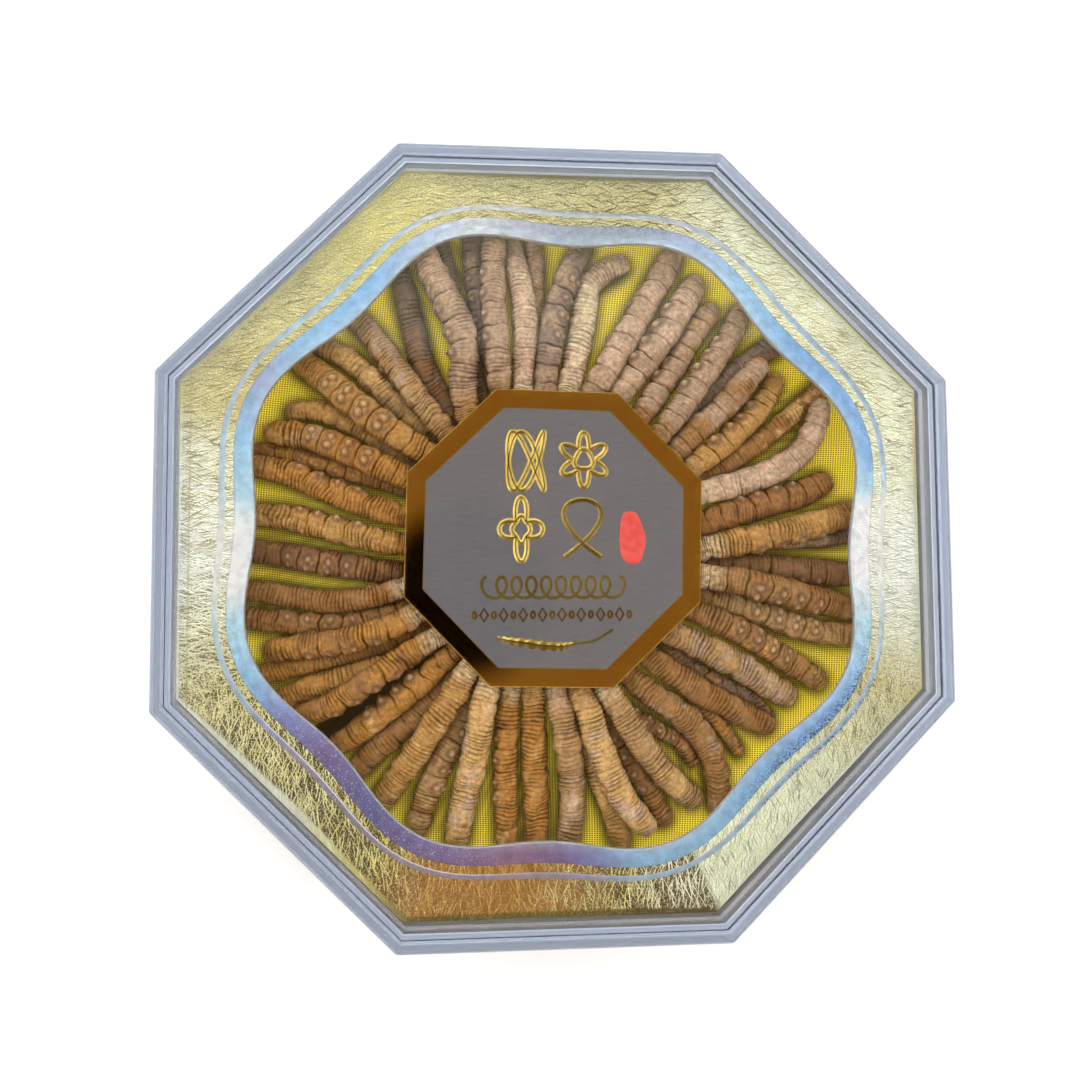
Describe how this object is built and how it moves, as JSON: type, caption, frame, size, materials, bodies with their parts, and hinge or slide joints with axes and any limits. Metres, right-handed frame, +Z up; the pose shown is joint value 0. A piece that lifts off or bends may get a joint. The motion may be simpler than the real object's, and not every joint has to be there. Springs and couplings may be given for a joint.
{
  "type": "dried cordyceps",
  "caption": "Dried cordyceps laid like wheel spokes on a yellow silk pad in a clear octagonal box, with a gold scalloped mat and an octagonal centre label.",
  "frame": {"origin": "middle of the underside of the box", "axes": "+Z up through the lid; the flats of the octagon face +X, -X, +Y and -Y"},
  "size_m": [0.18, 0.18, 0.032],
  "materials": {
    "clear_plastic": "clear moulded polystyrene, polished",
    "yellow_silk": "yellow woven silk over foam, sheen along the threads",
    "gold_foil": "gold foil on board, embossed with a leather grain, with a pale prismatic band round the window",
    "label_card": "grey linen card with a mirror-gold border",
    "skin_pale": "dry, matt, light straw-tan, finely ringed",
    "skin_tan": "dry, matt, tan, finely ringed",
    "skin_amber": "dry, matt, orange-brown, finely ringed",
    "skin_russet": "dry, matt, reddish brown, finely ringed",
    "skin_brown": "dry, matt, brown, finely ringed",
    "skin_mauve": "dry, matt, mauve-brown, finely ringed",
    "skin_dark": "dry, matt, dark grey-brown, finely ringed"
  },
  "bodies": {
    "root": {"base_tray": "clear_plastic", "lid": "clear_plastic", "silk_pad": "yellow_silk", "gold_mat": "gold_foil", "centre_label": "label_card", "cordyceps_01": "skin_dark", "cordyceps_02": "skin_brown", "cordyceps_03": "skin_brown", "cordyceps_04": "skin_dark", "cordyceps_05": "skin_brown", "cordyceps_06": "skin_brown", "cordyceps_07": "skin_tan", "cordyceps_08": "skin_tan", "cordyceps_09": "skin_mauve", "cordyceps_10": "skin_dark", "cordyceps_11": "skin_brown", "cordyceps_12": "skin_brown", "cordyceps_13": "skin_tan", "cordyceps_14": "skin_dark", "cordyceps_15": "skin_dark", "cordyceps_16": "skin_brown", "cordyceps_17": "skin_dark", "cordyceps_18": "skin_brown", "cordyceps_19": "skin_dark", "cordyceps_20": "skin_dark", "cordyceps_21": "skin_amber", "cordyceps_22": "skin_tan", "cordyceps_23": "skin_tan", "cordyceps_24": "skin_tan", "cordyceps_25": "skin_amber", "cordyceps_26": "skin_tan", "cordyceps_27": "skin_russet", "cordyceps_28": "skin_tan", "cordyceps_29": "skin_tan", "cordyceps_30": "skin_amber", "cordyceps_31": "skin_tan", "cordyceps_32": "skin_pale", "cordyceps_33": "skin_amber", "cordyceps_34": "skin_brown", "cordyceps_35": "skin_mauve", "cordyceps_36": "skin_tan", "cordyceps_37": "skin_mauve", "cordyceps_38": "skin_mauve", "cordyceps_39": "skin_mauve", "cordyceps_40": "skin_tan", "cordyceps_41": "skin_brown", "cordyceps_42": "skin_mauve", "cordyceps_43": "skin_amber", "cordyceps_44": "skin_russet", "cordyceps_45": "skin_pale", "cordyceps_46": "skin_tan", "cordyceps_47": "skin_brown", "cordyceps_48": "skin_tan", "cordyceps_49": "skin_mauve", "cordyceps_50": "skin_mauve", "cordyceps_51": "skin_russet", "cordyceps_52": "skin_tan", "cordyceps_53": "skin_dark", "cordyceps_54": "skin_pale", "cordyceps_55": "skin_tan"}
  },
  "joints": []
}
